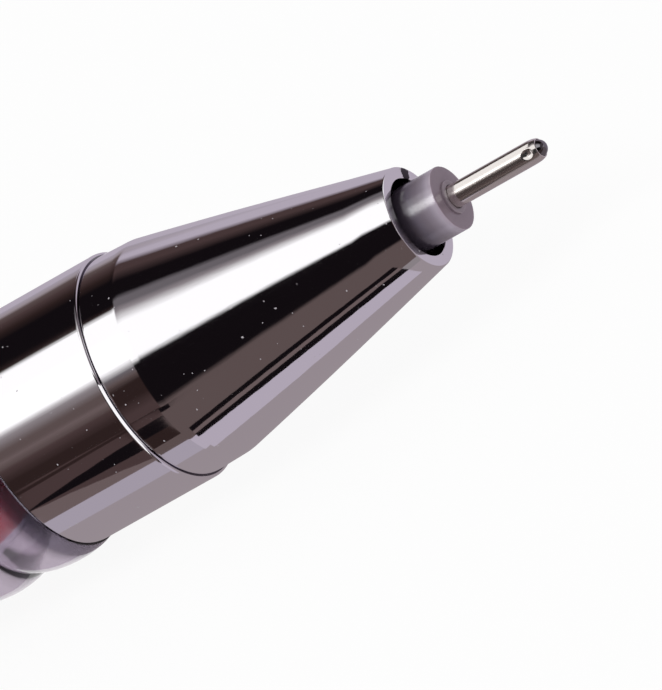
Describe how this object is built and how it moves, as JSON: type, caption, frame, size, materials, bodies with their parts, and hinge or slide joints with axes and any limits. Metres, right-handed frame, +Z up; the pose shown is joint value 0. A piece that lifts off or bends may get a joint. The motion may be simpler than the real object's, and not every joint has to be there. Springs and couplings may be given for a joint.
{
  "type": "retractable ballpoint pen",
  "caption": "Click ballpoint pen with a chrome nose and ferrule, needle point, clear ringed grip, clear barrel, red refill, clip and push button.",
  "frame": {"origin": "on the pen's axis, at the middle of the plain chrome ferrule", "axes": "+X along the axis towards the writing point, +Z up as the pen lies on its barrel and clip lug, clip on the -Y side"},
  "size_m": [0.1461, 0.0136, 0.0105],
  "materials": {
    "clear_barrel": "clear moulded plastic, polished",
    "clear_grip": "clear ringed plastic with a lilac cast",
    "chrome": "bright chrome plating with fine specks",
    "brass": "turned brass",
    "refill_tube": "clear extruded tube",
    "ink": "wet red ink",
    "grease": "clear follower grease",
    "grey_plastic": "grey, slightly translucent moulding",
    "dark_plastic": "dark moulding",
    "white_plastic": "white moulding",
    "needle_steel": "bright drawn stainless tube",
    "ball_metal": "polished hard metal",
    "spring_steel": "spring wire"
  },
  "bodies": {
    "barrel": {"barrel": "clear_barrel", "thread_bush": "brass", "ferrule": "chrome", "grip_sleeve": "clear_grip", "grip_band": "chrome", "cam_sleeve": "white_plastic", "guide_bush": "dark_plastic", "rear_cap": "chrome", "return_spring": "spring_steel"},
    "nose": {"nose_cone": "chrome"},
    "refill": {"refill_tube": "refill_tube", "ink_column": "ink", "ink_follower": "grease", "tail_plug": "grey_plastic", "tip_holder": "grey_plastic", "needle_tube": "needle_steel"},
    "ball": {"writing_ball": "ball_metal"},
    "rotor": {"cam_rotor": "white_plastic"},
    "knock": {"plunger": "dark_plastic", "button_cap": "chrome"},
    "clip": {"clip": "chrome"}
  },
  "joints": [
    {"name": "knock_slide", "type": "slide", "parent": "barrel", "child": "knock", "axis": [1, 0, 0], "range_m": [-0.00665, 0.001], "deforming": ["return_spring"]},
    {"name": "refill_slide", "type": "slide", "parent": "barrel", "child": "refill", "axis": [1, 0, 0], "range_m": [-0.00665, 0.001]},
    {"name": "rotor_turn", "type": "hinge", "parent": "refill", "child": "rotor", "pos_m": [-0.0952, 0, 0], "axis": [1, 0, 0], "range_deg": [-45.1, 7]},
    {"name": "ball_roll", "type": "hinge", "parent": "refill", "child": "ball", "pos_m": [0.02155, 0, 0], "axis": [0, 1, 0], "continuous": true},
    {"name": "nose_unscrew", "type": "hinge", "parent": "barrel", "child": "nose", "pos_m": [0.00285, 0, 0], "axis": [1, 0, 0], "range_deg": [0, 1440]},
    {"name": "clip_flex", "type": "hinge", "parent": "barrel", "child": "clip", "pos_m": [-0.1105, -0.00643, -0.0025], "axis": [0, 0.362, -0.9322], "range_deg": [0, 4], "stiffness_Nm_per_rad": 2}
  ],
  "couplings": [
    {"joint": "refill_slide", "follows": "knock_slide", "ratio": 1},
    {"joint": "rotor_turn", "follows": "knock_slide", "rad_per_m": 118.11}
  ]
}
